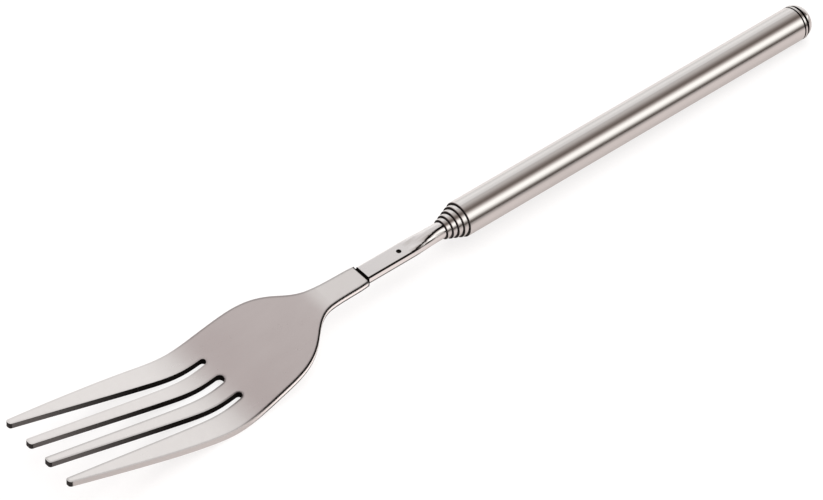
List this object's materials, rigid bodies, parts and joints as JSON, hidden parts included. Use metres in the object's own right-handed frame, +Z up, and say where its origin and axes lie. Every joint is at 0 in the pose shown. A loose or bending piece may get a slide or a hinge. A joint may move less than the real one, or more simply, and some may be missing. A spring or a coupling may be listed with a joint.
{
  "type": "telescopic food fork",
  "caption": "Long-reach food fork: a broad tined head on a flattened shank that telescopes into a round metal tube handle with a domed end cap.",
  "frame": {"origin": "on the table under the middle of the closed fork's overall length", "axes": "+X towards the handle's end cap, the fork pointing along -X; +Z up from the table the closed fork lies on; Y across the tines"},
  "size_m": [0.2229, 0.0258, 0.0141],
  "materials": {
    "head_steel": "satin stainless steel",
    "tube_steel": "polished stainless steel",
    "plug_steel": "turned stainless steel",
    "shim_brass": "spring brass"
  },
  "bodies": {
    "handle": {"handle_tube": "tube_steel", "handle_end_cap": "tube_steel"},
    "section_1": {"section_1_tube": "tube_steel", "section_1_rear_plug": "plug_steel", "section_1_upper_shim": "shim_brass", "section_1_lower_shim": "shim_brass"},
    "section_2": {"section_2_tube": "tube_steel", "section_2_rear_plug": "plug_steel", "section_2_upper_shim": "shim_brass", "section_2_lower_shim": "shim_brass"},
    "section_3": {"section_3_tube": "tube_steel", "section_3_rear_plug": "plug_steel", "section_3_upper_shim": "shim_brass", "section_3_lower_shim": "shim_brass"},
    "section_4": {"section_4_tube": "tube_steel", "section_4_rear_plug": "plug_steel", "section_4_upper_shim": "shim_brass", "section_4_lower_shim": "shim_brass"},
    "shank_shims": {"shank_upper_shim": "shim_brass", "shank_lower_shim": "shim_brass"},
    "fork": {"shank_tube": "tube_steel", "shank_rear_plug": "plug_steel", "tang_pin": "plug_steel", "fork_head": "head_steel"}
  },
  "joints": [
    {"name": "section_1_slide", "type": "slide", "parent": "handle", "child": "section_1", "axis": [-0.9997, 0, 0.0248], "range_m": [0, 0.082]},
    {"name": "section_2_slide", "type": "slide", "parent": "section_1", "child": "section_2", "axis": [-0.9997, 0, 0.0248], "range_m": [0, 0.082]},
    {"name": "section_3_slide", "type": "slide", "parent": "section_2", "child": "section_3", "axis": [-0.9997, 0, 0.0248], "range_m": [0, 0.082]},
    {"name": "section_4_slide", "type": "slide", "parent": "section_3", "child": "section_4", "axis": [-0.9997, 0, 0.0248], "range_m": [0, 0.082]},
    {"name": "shank_slide", "type": "slide", "parent": "section_4", "child": "shank_shims", "axis": [-0.9997, 0, 0.0248], "range_m": [0, 0.082]},
    {"name": "fork_turn", "type": "hinge", "parent": "shank_shims", "child": "fork", "pos_m": [0.05553, 0, 0.00551], "axis": [-0.9997, 0, 0.0248], "continuous": true}
  ]
}
